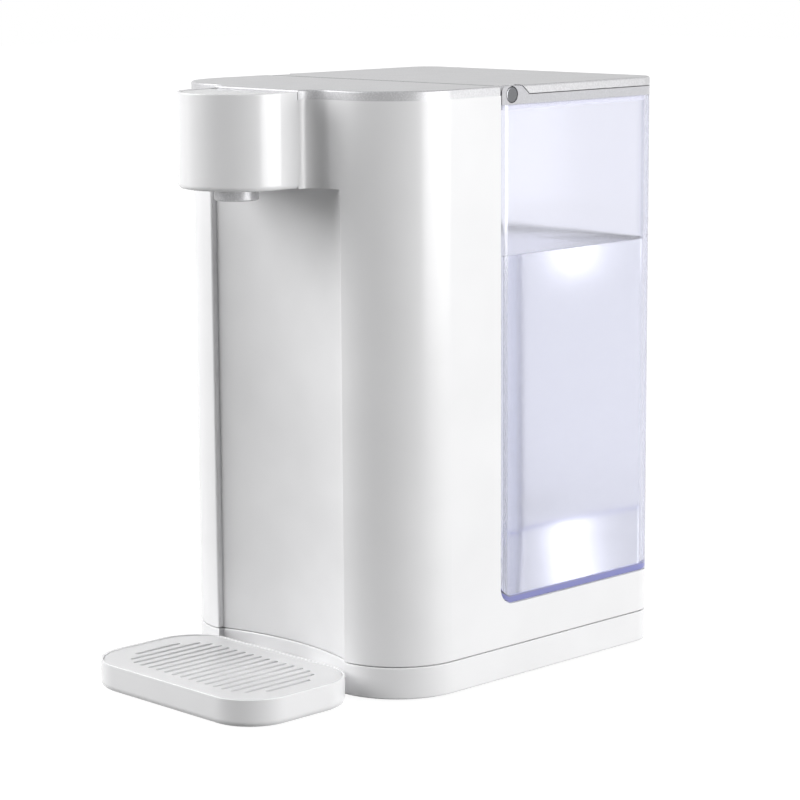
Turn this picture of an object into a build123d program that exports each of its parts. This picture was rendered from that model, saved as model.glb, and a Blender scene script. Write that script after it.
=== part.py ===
from build123d import *
import os
from math import cos, hypot, pi, sin, sqrt

# Countertop hot water dispenser: a slim body with a spout head and a drip tray in front,
# and a clear lift-off water tank with a hinged lid behind.
# Millimetres, +Z up, spout towards -Y, standing on z = 0 about the middle of its outline.

# Whole dispenser
body_width = 160
body_depth = 69.1               # front face to the seam in front of the tank
tank_depth = 112.3              # that seam to the rear face
tray_depth = 72.6
total_height = 281.5
front_corner_radius = 36
rear_corner_radius = 12
overrun = 5                     # how far cutters reach past what they cut
curve_fit = 0.05                # between round pieces that sit in one another

# Base pan
base_lift = 1.0                 # underside of the pan above the table
base_height = 16.1              # table to the seam round the body
base_seam = 0.5
base_wall = 2.4
base_floor = 2.2
base_round = 1.0                # lower edge of the pan
seam_break = 0.4                # both edges of the seam round the body
spigot_height = 3.5             # rim of the pan that stands inside the shell
spigot_wall = 1.6
vent_count = 9
vent_pitch = 7
vent_width = 2.6
vent_length = 34

# Feet and screws
foot_radius = 7
foot_sink = 1.3
foot_fit = 0.2
foot_side_margin = 24
foot_front_margin = 32
foot_rear_margin = 24
screw_radius = 1.5
screw_head_radius = 2.8
screw_head_height = 2.2
screw_length = 13
screw_land = 4                  # pan material between a screw's head and the seam
screw_head_fit = 0.3
boss_radius = 4
boss_height = 14
boss_sink = 1                   # how far a boss runs into the shell's wall
column_radius = 4.8

# Body shell and spout head
shell_wall = 2.8
shell_fit = 0.3                 # round pieces that drop into the shell
head_radius = 28.4
head_reach = 48.6               # body front to the head's front
head_height = 43.8
head_drop = 0.8                 # head top below the top plate
head_round = 2.2
head_edge_round = 0.5
head_rim = 1.3
head_floor = 2.4
neck_radius = 10
neck_fit_share = 0.9            # of the flat front beside the head, the most that a neck fillet takes

# Alcove behind the cup
alcove_depth = 10
alcove_edge_round = 1.2
liner_thickness = 2.2
liner_flange = 6

# Touch panel and its board
panel_thickness = 2.4
panel_fit = 0.15
panel_drop = 0.3
panel_edge_round = 0.3
panel_gap = 0.3
panel_post_radius = 2.2
panel_post_length = 5
panel_post_offset = 14
panel_post_margin = 5           # rear posts in front of the panel's rear edge
board_thickness = 1.6
control_board_inset = 6

# Top plate
plate_thickness = 4.4
plate_skin = 2.2
plate_seam = 0.5
plate_edge_round = 0.8
plate_lip_depth = 3
plate_lip_wall = 1.6

# Nozzle and outlet
nozzle_forward = 2.3            # nozzle axis in front of the head's round centre
nozzle_radius = 10.25
nozzle_drop = 5.9
nozzle_wall = 2
nozzle_round = 0.8
nozzle_flange_radius = 14
nozzle_flange_height = 2
tip_setback = 1.2
tip_radius = 5
tip_length = 3
tip_bore = 3.4
chamber_gap = 4
chamber_radius = 13
chamber_height = 20
chamber_round = 2
chamber_inlet_height = 12

# Tank bay
bay_wall = 2.2
bay_floor = 2.4
seat_z = 37.0
bay_corner = 8.5

# Tank and collar
tank_gap = 0.7
tank_rest = 0.3
tank_wall = 2.6
tank_floor = 3
tank_front_radius = 4
tank_foot_round = 0.9
collar_height = 4.2
collar_width = 4
collar_lip_depth = 2.4
collar_lip_wall = 1.6
collar_fit = 0.2

# Hinge
hinge_setback = 7.4             # pin axis behind the seam
hinge_drop = 4.2                # pin axis below the top
pin_radius = 1.5
pin_cap_radius = 3.75
pin_cap_thickness = 1.4
pin_cap_fit = 0.15
pin_cap_round = 0.6
ear_drop = 0.3
ear_round = 2.5
notch_top = 14.5                # lid's corner notches, behind the seam
notch_bottom = 19.3
notch_gap = 0.6
ear_gap = 0.5
lug_radius = 3.2
lug_length = 6
swing_gap = 0.4

# Lid
lid_thickness = 4.1
lid_gap = 0.4
lid_setback = 0.5
lid_wall = 2.4
lid_skin = 2.2
lid_front_round = 3
lid_edge_round = 1
plug_setback = 10               # plug front behind the pin axis
plug_drop = 3.2
plug_wall = 1.8
seal_gap = 0.3
seal_width = 1.7
seal_height = 1.6
seal_lift = 1

# Tank valve
valve_setback = 34
valve_fit = 0.2
valve_neck_radius = 10.8
valve_neck_drop = 9
valve_flange_radius = 15
valve_flange_height = 2.5
valve_bore_radius = 7.5
valve_seat_height = 2.5
valve_seat_radius = 4.5
valve_bar_width = 3
valve_bar_height = 1.8
valve_hub_radius = 2.8
plunger_radius = 6.4
plunger_thickness = 2.4
plunger_lift = 2.0              # how far the socket's pin holds the valve open
plunger_seat_gap = 0.1
plunger_guide_radius = 1.5
plunger_guide_rise = 1
stem_radius = 2
stem_length = 6.6
washer_thickness = 1
spring_radius = 4.3
spring_wire_radius = 0.35
spring_turns = 2.5

# Valve socket
socket_play = 1.7
socket_wall = 3
socket_floor = 2.4
socket_room = 5.8               # below the valve's neck
socket_flange_radius = 19
socket_flange_height = 2
push_pin_radius = 1.8
push_pin_gap = 0.1
socket_seal_gap = 0.3
socket_seal_height = 2.5
socket_seal_rise = 1.2

# Hoses and their barbs
barb_radius = 2.5
barb_bore = 1.6
barb_length = 11
hose_wall = 1.5
hose_end_gap = 0.3
inlet_bend = 13
feed_bend = 18
outlet_bend = 16
bend_share = 0.48               # of the shortest run, the most that a bend takes

# Pump
pump_margin = 36                # pump axis in from the body's side
pump_setback = 27               # pump axis in front of the seam
pump_radius = 15
pump_head_height = 26
pump_barb_offset = 7
pump_bolt_round = 1.5
motor_radius = 13.5
motor_length = 40
motor_round = 1.5
motor_cap_radius = 5
motor_cap_height = 3
cradle_height = 6.8
cradle_wall = 3
cradle_rim = 5

# Heater
heater_margin = 36              # heater axis in from the body's side
heater_radius = 15
heater_wall = 3
heater_rise = 68.8              # its lower end above the pan's floor
heater_drop = 50.3              # its upper end below the outlet's inlet
heater_cap_wall = 2
heater_cap_height = 8
heater_cap_lap = 3
clamp_wall = 2.4
clamp_height = 8
clamp_arm = 8
clamp_foot = 20
clamp_spread = 68
thermostat_radius = 7
thermostat_depth = 6
thermostat_spread = 35

# Power board
board_margin = 44               # board's middle in from the body's side
power_board_low = 120
power_board_width = 62
power_board_height = 92
standoff_length = 6
standoff_radius = 3
standoff_margin = 6
relay_size = (20, 16, 15)       # along X, out from the board, along Z
relay_margin = 8
capacitor_radius = 6
capacitor_length = 18
sink_size = (26, 14, 40)
sink_web = 3
sink_fin = 2
sink_fin_count = 5

# Drip tray and grille
tray_gap = 0.4
tray_width = 119.2
tray_corner = 22.7
tray_height = 13.4
tray_lift = 0.3
tray_wall = 2.6
tray_floor = 2.2
tray_round = 3
tray_edge_round = 0.4
tray_rim = 1.2
grille_thickness = 2
grille_drop = 0.5
grille_fit = 0.3
slot_count = 17
slot_pitch = 5.8
slot_width = 2.5
slot_margin = 11
slot_field_corner = 18
tab_offset = 20
tab_width = 16
tab_thickness = 3
tab_low = 4.5
tab_length = 15
tab_fit = 0.35

# Cord gland
gland_margin = 35               # gland axis in from the body's side
gland_radius = 4.6
gland_bore = 3.4
gland_flange_radius = 5.6
gland_flange = 2
gland_tail = 6

# Places along X
half_width = body_width / 2
alcove_half = half_width - front_corner_radius
neck_fillet = min(neck_radius, neck_fit_share * (alcove_half - head_radius))
pump_x = pump_margin - half_width
heater_x = half_width - heater_margin
board_x = board_margin - half_width
gland_x = gland_margin - half_width
ear_inner_x = half_width - collar_width
lid_cheek_x = ear_inner_x - ear_gap
hose_radius = barb_radius + curve_fit
hose_outer_radius = hose_radius + hose_wall
socket_bore = valve_neck_radius + socket_play
socket_radius = socket_bore + socket_wall

# Places along Y
total_depth = tank_depth + body_depth + tray_gap + tray_depth
rear_y = total_depth / 2
seam_y = rear_y - tank_depth
front_y = seam_y - body_depth
tray_rear_y = front_y - tray_gap
tray_front_y = tray_rear_y - tray_depth
head_center_y = front_y - head_reach + head_radius
neck_y = front_y - neck_fillet
nozzle_y = head_center_y - nozzle_forward
tank_front_y = seam_y + tank_gap
hinge_y = seam_y + hinge_setback
valve_y = seam_y + valve_setback
pump_y = seam_y - pump_setback
heater_y = pump_y - pump_barb_offset
bay_front_y = seam_y - bay_wall

# Places along Z
base_inside_z = base_lift + base_floor
shell_bottom = base_height + base_seam
body_top = total_height - plate_thickness
head_top = total_height - head_drop
head_bottom = head_top - head_height
panel_top = head_top - panel_drop
panel_bottom = panel_top - panel_thickness
lid_bottom = total_height - lid_thickness
collar_top = lid_bottom - lid_gap
tank_top = collar_top - collar_height
tank_bottom = seat_z + tank_rest
hinge_z = total_height - hinge_drop
nozzle_bottom = head_bottom - nozzle_drop
nozzle_top = head_bottom + head_floor + nozzle_flange_height
chamber_bottom = nozzle_top + chamber_gap
outlet_z = chamber_bottom + chamber_inlet_height
valve_neck_bottom = tank_bottom - valve_neck_drop
valve_seat_z = valve_neck_bottom + valve_seat_height
valve_top = tank_bottom + tank_floor + valve_flange_height
washer_z = valve_seat_z + plunger_lift + plunger_seat_gap
plunger_z = washer_z + washer_thickness
plunger_top = plunger_z + plunger_thickness
stem_bottom = washer_z - stem_length
socket_inside_z = valve_neck_bottom - socket_room
hose_z = socket_inside_z + barb_radius
pump_bottom = base_inside_z + cradle_height
pump_top = pump_bottom + pump_head_height
heater_low = base_inside_z + heater_rise
heater_high = outlet_z - heater_drop
heater_middle = (heater_low + heater_high) / 2
gland_z = (base_inside_z + base_height) / 2
grille_bottom = tray_height - grille_drop - grille_thickness

# The lid's front edge sweeps this radius about the hinge
swing_radius = max(
    hypot(hinge_setback - lid_setback - lid_front_round, hinge_drop - lid_front_round) + lid_front_round,
    hypot(hinge_setback - lid_setback, lid_bottom - hinge_z),
)

# The alcove's face is an arc that starts behind the shell's wall
alcove_sagitta = alcove_depth - shell_wall
alcove_radius = (alcove_half ** 2 + alcove_sagitta ** 2) / (2 * alcove_sagitta)
alcove_center_y = front_y + alcove_depth - alcove_radius

boss_x = half_width - shell_wall - boss_radius + boss_sink
boss_places = [
    (side * boss_x, y)
    for side in (-1, 1)
    for y in (front_y + front_corner_radius + boss_radius, rear_y - rear_corner_radius - boss_radius)
]
foot_places = [
    (side * (half_width - foot_side_margin), y)
    for side in (-1, 1)
    for y in (front_y + foot_front_margin, rear_y - foot_rear_margin)
]


# Plans and simple solids

def rounded_plan(half, front, rear, front_radius, rear_radius):
    plan = Pos(0, (front + rear) / 2) * Rectangle(2 * half, rear - front)
    plan = fillet(plan.vertices().group_by(Axis.Y)[0], front_radius)
    return fillet(plan.vertices().group_by(Axis.Y)[-1], rear_radius)


def body_plan(inset=0):
    front_radius = front_corner_radius - inset
    rear_radius = rear_corner_radius - inset
    return rounded_plan(half_width - inset, front_y + inset, rear_y - inset, front_radius, rear_radius)


def tank_plan(inset=0, front=tank_front_y):
    front_radius = max(tank_front_radius - inset, tank_front_radius / 4)
    rear_radius = rear_corner_radius - inset
    return rounded_plan(half_width - inset, front + inset, rear_y - inset, front_radius, rear_radius)


def tray_plan(inset=0):
    corner = tray_corner - inset
    return rounded_plan(tray_width / 2 - inset, tray_front_y + inset, tray_rear_y - inset, corner, corner)


def head_plan(inset=0):
    radius = head_radius - inset
    throat = Pos(0, head_center_y / 2 + seam_y / 2) * Rectangle(2 * radius, seam_y - head_center_y)
    return throat + Pos(0, head_center_y) * Circle(radius)


def upper_plan(inset=0):
    plan = body_plan(inset) + head_plan(inset)
    corner = Vector(head_radius - inset, front_y + inset)
    corners = [v for v in plan.vertices() if (Vector(abs(v.X), v.Y) - corner).length < curve_fit]
    return fillet(corners, neck_fillet + inset)


def y_band(front, rear):
    return Pos(0, (front + rear) / 2) * Rectangle(2 * body_width, rear - front)


def alcove_plan(grow=0):
    band = Pos(0, front_y) * Rectangle(2 * (alcove_half + grow), 2 * (alcove_depth + grow + overrun))
    return band & (Pos(0, alcove_center_y) * Circle(alcove_radius + grow))


def prism(plan, low, high):
    return extrude(Pos(0, 0, low) * plan, high - low)


def block(x_span, y_span, z_span):
    spans = (x_span, y_span, z_span)
    middles = [(low + high) / 2 for low, high in spans]
    return Pos(*middles) * Box(*[high - low for low, high in spans])


def rod(start, direction, length, radius):
    return extrude(Plane(origin=start, z_dir=direction) * Circle(radius), length)


def post(x, y, low, high, radius):
    return rod((x, y, low), (0, 0, 1), high - low, radius)


def side_block(front, low, corner):
    """Block behind front and above low, across the whole width, with its lower front edge rounded."""
    rear = rear_y + overrun
    high = total_height + overrun
    side = Pos((front + rear) / 2, (low + high) / 2) * Rectangle(rear - front, high - low)
    side = fillet(side.vertices().sort_by(lambda v: v.X + v.Y)[0], corner)
    return extrude(Plane.YZ * side, half_width + overrun, both=True)


def hose(points, bend):
    runs = [(Vector(*end) - Vector(*start)).length for start, end in zip(points, points[1:])]
    path = FilletPolyline(*points, radius=min(bend, bend_share * min(runs)))
    ring = Circle(hose_outer_radius) - Circle(hose_radius)
    start = Plane(origin=path @ 0, z_dir=path % 0)
    return sweep(start * ring, path=path)


# Housing

def base_pan():
    outer = prism(body_plan() - alcove_plan(), base_lift, base_height)
    outer = fillet(outer.faces().sort_by(Axis.Z)[0].edges(), base_round)
    outer = fillet(outer.faces().sort_by(Axis.Z)[-1].edges(), seam_break)
    inner = prism(body_plan(base_wall) - alcove_plan(base_wall), base_inside_z, base_height + overrun)
    spigot_inset = shell_wall + shell_fit
    spigot = prism(body_plan(spigot_inset) - body_plan(spigot_inset + spigot_wall), base_inside_z,
                   base_height + spigot_height)
    flange_x = alcove_half + liner_flange + shell_fit
    spigot -= block((-flange_x, flange_x), (front_y, front_y + front_corner_radius),
                    (base_inside_z, base_height + spigot_height))
    for x, y in boss_places:
        spigot -= post(x, y, base_inside_z, base_height + spigot_height, boss_radius + shell_fit)
    pan = outer - inner + spigot
    for x, y in boss_places:
        pan += post(x, y, base_inside_z, base_height, column_radius) & outer
        pan -= post(x, y, base_lift - overrun, base_height + overrun, screw_radius + curve_fit)
        pan -= post(x, y, base_lift - overrun, base_height - screw_land, screw_head_radius + screw_head_fit)
    for x, y in foot_places:
        pan -= post(x, y, base_lift - overrun, base_lift + foot_sink, foot_radius + foot_fit)
    vent_plan = SlotOverall(vent_length, vent_width, rotation=90)
    vent = prism(vent_plan, base_lift - overrun, base_inside_z + overrun)
    pan -= [Pos((index - (vent_count - 1) / 2) * vent_pitch, valve_y) * vent for index in range(vent_count)]
    slot_end = tray_rear_y + tab_length + overrun
    for side in (-1, 1):
        middle = side * tab_offset
        reach = tab_width / 2 + tab_fit
        pan -= block((middle - reach, middle + reach), (front_y, slot_end),
                     (tab_low - tab_fit, tab_low + tab_thickness + tab_fit))
    outside = (gland_x, rear_y + overrun, gland_z)
    pan -= rod(outside, (0, -1, 0), base_wall + 2 * overrun, gland_radius + curve_fit)
    inside = (gland_x, rear_y - base_wall, gland_z)
    return pan - rod(inside, (0, -1, 0), gland_flange + overrun, gland_flange_radius + shell_fit)


def rubber_feet():
    feet = [post(x, y, 0, base_lift + foot_sink, foot_radius) for x, y in foot_places]
    return Part() + feet


def base_screws():
    under_head = base_height - screw_land
    screws = [
        post(x, y, under_head - screw_head_height, under_head, screw_head_radius)
        + post(x, y, under_head, under_head + screw_length, screw_radius)
        for x, y in boss_places
    ]
    return Part() + screws


def cord_gland():
    inside_y = rear_y - base_wall
    start = (gland_x, rear_y, gland_z)
    length = base_wall + gland_flange + gland_tail
    gland = rod(start, (0, -1, 0), length, gland_radius)
    gland += rod((gland_x, inside_y, gland_z), (0, -1, 0), gland_flange, gland_flange_radius)
    return gland - rod(start, (0, -1, 0), length, gland_bore)


def body_shell():
    lower = prism(body_plan(), shell_bottom, head_bottom)
    lower = fillet(lower.faces().sort_by(Axis.Z)[0].edges(), seam_break)
    upper = prism(upper_plan() & y_band(neck_y, rear_y), head_bottom, body_top)
    nose = prism(head_plan() & y_band(front_y - head_reach, neck_y), head_bottom, head_top)
    for face_index, radius in ((0, head_round), (-1, head_edge_round)):
        edges = nose.faces().sort_by(Axis.Z)[face_index].edges()
        nose = fillet([edge for edge in edges if edge.center().Y < neck_y - curve_fit], radius)
    shell = lower + upper + nose
    shell -= side_block(seam_y, seat_z, bay_corner)
    shell -= prism(body_plan(shell_wall), shell_bottom - overrun, head_bottom)
    shell -= block((-alcove_half, alcove_half), (front_y - overrun, front_y + alcove_depth),
                   (shell_bottom - overrun, head_bottom))
    shell -= prism(upper_plan(shell_wall), head_bottom, head_top + overrun)
    panel_seat = head_plan(head_rim) & y_band(front_y - head_reach, neck_y)
    shell -= prism(panel_seat, panel_bottom, head_top + overrun)
    corner = Vector(alcove_half, front_y)
    jambs = [
        edge for edge in shell.edges().filter_by(Axis.Z)
        if (Vector(abs(edge.center().X), edge.center().Y) - corner).length < curve_fit
        and edge.center().Z < head_bottom
    ]
    shell = fillet(jambs, alcove_edge_round)
    for x, y in boss_places:
        shell += post(x, y, shell_bottom, shell_bottom + boss_height, boss_radius)
        shell -= post(x, y, shell_bottom - overrun, shell_bottom + boss_height, screw_radius + curve_fit)
    return shell


def alcove_liner():
    ring = Pos(0, alcove_center_y) * (Circle(alcove_radius + liner_thickness) - Circle(alcove_radius))
    face = ring & (Pos(0, front_y) * Rectangle(2 * alcove_half, 2 * (alcove_depth + overrun)))
    flange_end = alcove_half + liner_flange
    shell_inside = front_corner_radius - sqrt((front_corner_radius - shell_wall) ** 2 - liner_flange ** 2)
    flange_front = front_y + shell_inside + shell_fit
    flange_middle = flange_front + liner_thickness / 2
    flange_width = liner_flange + liner_thickness
    for side in (-1, 1):
        middle = side * (flange_end - flange_width / 2)
        face += Pos(middle, flange_middle) * Rectangle(flange_width, liner_thickness)
    ceiling_front = front_y + shell_wall + shell_fit
    disc = Pos(0, alcove_center_y) * Circle(alcove_radius + liner_thickness)
    ceiling = disc & y_band(ceiling_front, seam_y)
    ceiling = ceiling & (Pos(0, front_y) * Rectangle(2 * alcove_half, 2 * body_depth))
    liner = prism(face, shell_bottom, head_bottom + liner_thickness)
    return liner + prism(ceiling, head_bottom, head_bottom + liner_thickness)


def head_base():
    plan = upper_plan(shell_wall + shell_fit) & y_band(front_y - head_reach, front_y + shell_wall)
    plate = prism(plan, head_bottom, head_bottom + head_floor)
    return plate - post(0, nozzle_y, head_bottom - overrun, head_bottom + head_floor + overrun,
                        nozzle_radius + curve_fit)


def nozzle_ring():
    ring = post(0, nozzle_y, nozzle_bottom, nozzle_top, nozzle_radius)
    ring = fillet(ring.edges().group_by(Axis.Z)[0], nozzle_round)
    ring += post(0, nozzle_y, head_bottom + head_floor, nozzle_top, nozzle_flange_radius)
    bore = nozzle_radius - nozzle_wall
    return ring - post(0, nozzle_y, nozzle_bottom - overrun, nozzle_top + overrun, bore)


def spout_tip():
    tip_bottom = nozzle_bottom + tip_setback
    body = post(0, nozzle_y, tip_bottom + tip_length, chamber_bottom, nozzle_radius - nozzle_wall - curve_fit)
    body += post(0, nozzle_y, tip_bottom, tip_bottom + tip_length, tip_radius)
    return body - post(0, nozzle_y, tip_bottom - overrun, chamber_bottom + overrun, tip_bore)


def outlet_chamber():
    chamber = post(0, nozzle_y, chamber_bottom, chamber_bottom + chamber_height, chamber_radius)
    chamber = fillet(chamber.edges().group_by(Axis.Z)[-1], chamber_round)
    inlet = (0, nozzle_y, outlet_z)
    chamber += rod(inlet, (0, 1, 0), chamber_radius + barb_length, barb_radius)
    chamber -= rod(inlet, (0, 1, 0), chamber_radius + barb_length, barb_bore)
    return chamber - post(0, nozzle_y, chamber_bottom, outlet_z, tip_bore)


def touch_panel():
    plan = head_plan(head_rim + panel_fit) & y_band(front_y - head_reach, neck_y - panel_gap)
    panel = prism(plan, panel_bottom, panel_top)
    panel = fillet(panel.faces().sort_by(Axis.Z)[-1].edges(), panel_edge_round)
    for x in (-panel_post_offset, panel_post_offset):
        for y in (head_center_y - panel_post_offset, neck_y - panel_post_margin):
            panel += post(x, y, panel_bottom - panel_post_length, panel_bottom, panel_post_radius)
    return panel


def control_board():
    plan = head_plan(control_board_inset) & y_band(front_y - head_reach, front_y)
    top = panel_bottom - panel_post_length
    return prism(plan, top - board_thickness, top)


def top_plate():
    band = y_band(neck_y + panel_gap, seam_y - plate_seam)
    plate = prism(upper_plan() & band, body_top, total_height)
    plate = fillet(plate.faces().sort_by(Axis.Z)[-1].edges(), plate_edge_round)
    lip_inset = shell_wall + shell_fit
    lip_band = y_band(neck_y + panel_gap + lip_inset, bay_front_y - shell_fit)
    lip = prism(upper_plan(lip_inset) & lip_band, body_top - plate_lip_depth, body_top)
    pocket_inset = lip_inset + plate_lip_wall
    pocket_band = y_band(neck_y + panel_gap + pocket_inset, bay_front_y - shell_fit - plate_lip_wall)
    pocket_plan = upper_plan(pocket_inset) & pocket_band
    return plate + lip - prism(pocket_plan, body_top - plate_lip_depth, total_height - plate_skin)


def tank_bay():
    half = half_width - shell_wall - shell_fit
    wall = block((-half, half), (bay_front_y, seam_y), (seat_z - bay_floor, body_top - shell_fit))
    floor = prism(body_plan(shell_wall + shell_fit) & y_band(bay_front_y, rear_y), seat_z - bay_floor, seat_z)
    bay = wall + floor
    inner_edge = bay.edges().filter_by(Axis.X).sort_by_distance((0, seam_y, seat_z))[0]
    bay = fillet(inner_edge, bay_corner)
    bay -= post(0, valve_y, seat_z - bay_floor - overrun, seat_z + overrun, socket_bore)
    for x, z in standoff_places():
        bay += rod((x, bay_front_y, z), (0, -1, 0), standoff_length, standoff_radius)
    return bay


def standoff_places():
    reach = power_board_width / 2 - standoff_margin
    lows = (power_board_low + standoff_margin, power_board_low + power_board_height - standoff_margin)
    return [(board_x + side * reach, z) for side in (-1, 1) for z in lows]


# Water path and electrics inside the body

def valve_socket():
    top = seat_z - bay_floor
    socket = post(0, valve_y, socket_inside_z - socket_floor, top, socket_radius)
    socket += post(0, valve_y, top - socket_flange_height, top, socket_flange_radius)
    socket -= post(0, valve_y, socket_inside_z, top + overrun, socket_bore)
    socket += post(0, valve_y, socket_inside_z, stem_bottom - push_pin_gap, push_pin_radius)
    wall = (0, valve_y - socket_bore, hose_z)
    socket += rod(wall, (0, -1, 0), socket_wall + barb_length, barb_radius)
    return socket - rod(wall, (0, -1, 0), socket_wall + barb_length, barb_bore)


def socket_seal():
    low = valve_neck_bottom + socket_seal_rise
    ring = Circle(socket_bore - curve_fit) - Circle(valve_neck_radius + socket_seal_gap)
    return prism(Pos(0, valve_y) * ring, low, low + socket_seal_height)


def inlet_hose():
    y = pump_y + pump_barb_offset
    points = [
        (0, valve_y - socket_radius - hose_end_gap, hose_z),
        (0, y, hose_z),
        (pump_x + pump_radius + hose_end_gap, y, hose_z),
    ]
    return hose(points, inlet_bend)


def pump_cradle():
    cradle = post(pump_x, pump_y, base_inside_z, pump_bottom + cradle_rim, pump_radius + cradle_wall)
    return cradle - post(pump_x, pump_y, pump_bottom, pump_bottom + cradle_rim, pump_radius + curve_fit)


def pump_head():
    head = post(pump_x, pump_y, pump_bottom, pump_top, pump_radius)
    head = fillet(head.edges().group_by(Axis.Z)[-1], pump_bolt_round)
    for offset in (-pump_barb_offset, pump_barb_offset):
        y = pump_y + offset
        head += rod((pump_x, y, hose_z), (1, 0, 0), pump_radius + barb_length, barb_radius)
        head -= rod((pump_x, y, hose_z), (1, 0, 0), pump_radius + barb_length, barb_bore)
    return head


def pump_motor():
    motor = post(pump_x, pump_y, pump_top, pump_top + motor_length, motor_radius)
    motor = fillet(motor.edges().group_by(Axis.Z)[-1], motor_round)
    motor_top = pump_top + motor_length
    return motor + post(pump_x, pump_y, motor_top, motor_top + motor_cap_height, motor_cap_radius)


def feed_hose():
    points = [
        (pump_x + pump_radius + hose_end_gap, heater_y, hose_z),
        (heater_x, heater_y, hose_z),
        (heater_x, heater_y, heater_low - heater_cap_height - hose_end_gap),
    ]
    return hose(points, feed_bend)


def heater_tube():
    ring = Circle(heater_radius) - Circle(heater_radius - heater_wall)
    return prism(Pos(heater_x, heater_y) * ring, heater_low, heater_high)


def heater_caps():
    caps = Part()
    for end_z, outward in ((heater_low, -1), (heater_high, 1)):
        axis = (0, 0, outward)
        rim = (heater_x, heater_y, end_z - outward * heater_cap_lap)
        crown_z = end_z + outward * heater_cap_height
        cap = rod(rim, axis, heater_cap_lap + heater_cap_height, heater_radius + heater_cap_wall)
        cap -= rod(rim, axis, heater_cap_lap, heater_radius + curve_fit)
        cap += rod((heater_x, heater_y, crown_z), axis, barb_length, barb_radius)
        cap -= rod((heater_x, heater_y, end_z), axis, heater_cap_height + barb_length, barb_bore)
        caps += cap
    return caps


def heater_clamps():
    inner = heater_radius + curve_fit
    outer = inner + clamp_wall
    clamps = Part()
    for middle in (heater_middle - clamp_spread / 2, heater_middle + clamp_spread / 2):
        low = middle - clamp_height / 2
        high = middle + clamp_height / 2
        clamp = post(heater_x, heater_y, low, high, outer)
        for width, front in ((clamp_arm, heater_y), (clamp_foot, bay_front_y - clamp_wall)):
            x_span = (heater_x - width / 2, heater_x + width / 2)
            clamp += block(x_span, (front, bay_front_y), (low, high))
        clamps += clamp - post(heater_x, heater_y, low, high, inner)
    return clamps


def thermostats():
    inner_x = heater_x - heater_radius - thermostat_depth
    tube = post(heater_x, heater_y, heater_low, heater_high, heater_radius + curve_fit)
    switches = [
        rod((inner_x, heater_y, z), (1, 0, 0), thermostat_depth + heater_wall, thermostat_radius) - tube
        for z in (heater_middle - thermostat_spread / 2, heater_middle + thermostat_spread / 2)
    ]
    return Part() + switches


def outlet_hose():
    points = [
        (heater_x, heater_y, heater_high + heater_cap_height + hose_end_gap),
        (heater_x, heater_y, outlet_z),
        (0, heater_y, outlet_z),
        (0, nozzle_y + chamber_radius + hose_end_gap, outlet_z),
    ]
    return hose(points, outlet_bend)


def power_board():
    rear = bay_front_y - standoff_length
    x_span = (board_x - power_board_width / 2, board_x + power_board_width / 2)
    z_span = (power_board_low, power_board_low + power_board_height)
    return block(x_span, (rear - board_thickness, rear), z_span)


def board_parts():
    face_y = bay_front_y - standoff_length - board_thickness
    low = power_board_low + relay_margin
    left = board_x - power_board_width / 2 + relay_margin
    relay_x, relay_y, relay_z = relay_size
    relay = block((left, left + relay_x), (face_y - relay_y, face_y), (low, low + relay_z))
    capacitor_foot = (left + relay_x + relay_margin + capacitor_radius, face_y, low + capacitor_radius)
    capacitor = rod(capacitor_foot, (0, -1, 0), capacitor_length, capacitor_radius)
    sink_x, sink_y, sink_z = sink_size
    sink_low = low + relay_z + relay_margin
    sink = block((left, left + sink_x), (face_y - sink_web, face_y), (sink_low, sink_low + sink_z))
    fin_step = (sink_x - sink_fin) / (sink_fin_count - 1)
    for index in range(sink_fin_count):
        fin_x = left + index * fin_step
        sink += block((fin_x, fin_x + sink_fin), (face_y - sink_y, face_y), (sink_low, sink_low + sink_z))
    return Part() + [relay, capacitor, sink]


# Tank

def lid_pocket():
    """Room that the lid's front edge swings through as it opens."""
    return block((-ear_inner_x, ear_inner_x), (seam_y - overrun, hinge_y + swing_radius + swing_gap),
                 (hinge_z - swing_radius - swing_gap, total_height + overrun))


def tank_shell():
    outer = prism(tank_plan(), tank_bottom, tank_top)
    outer = fillet(outer.faces().sort_by(Axis.Z)[0].edges(), tank_foot_round)
    outer &= side_block(tank_front_y, tank_bottom, bay_corner)
    inner = prism(tank_plan(tank_wall), tank_bottom + tank_floor, tank_top + overrun)
    inner &= side_block(tank_front_y + tank_wall, tank_bottom + tank_floor, bay_corner - tank_wall)
    hole_radius = valve_neck_radius + valve_fit
    hole = post(0, valve_y, tank_bottom - overrun, tank_bottom + tank_floor + overrun, hole_radius)
    return outer - inner - hole - lid_pocket()


def hinge_ear(side):
    points = [
        (tank_front_y, tank_top),
        (tank_front_y, total_height - ear_drop),
        (seam_y + notch_top - notch_gap, total_height - ear_drop),
        (seam_y + notch_bottom - notch_gap, lid_bottom),
        (seam_y + notch_bottom - notch_gap, tank_top),
    ]
    profile = make_face(Polyline(*points, close=True))
    top_front = profile.vertices().sort_by(lambda v: v.Y - v.X)[-1]
    profile = fillet(top_front, ear_round)
    ear = extrude(Plane.YZ * profile, collar_width)
    ear = Pos(ear_inner_x if side > 0 else -half_width) * ear
    ear -= rod((side * ear_inner_x, hinge_y, hinge_z), (side, 0, 0), collar_width, pin_radius + curve_fit)
    cap_start = (side * half_width, hinge_y, hinge_z)
    return ear - rod(cap_start, (-side, 0, 0), pin_cap_thickness, pin_cap_radius + pin_cap_fit)


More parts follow.
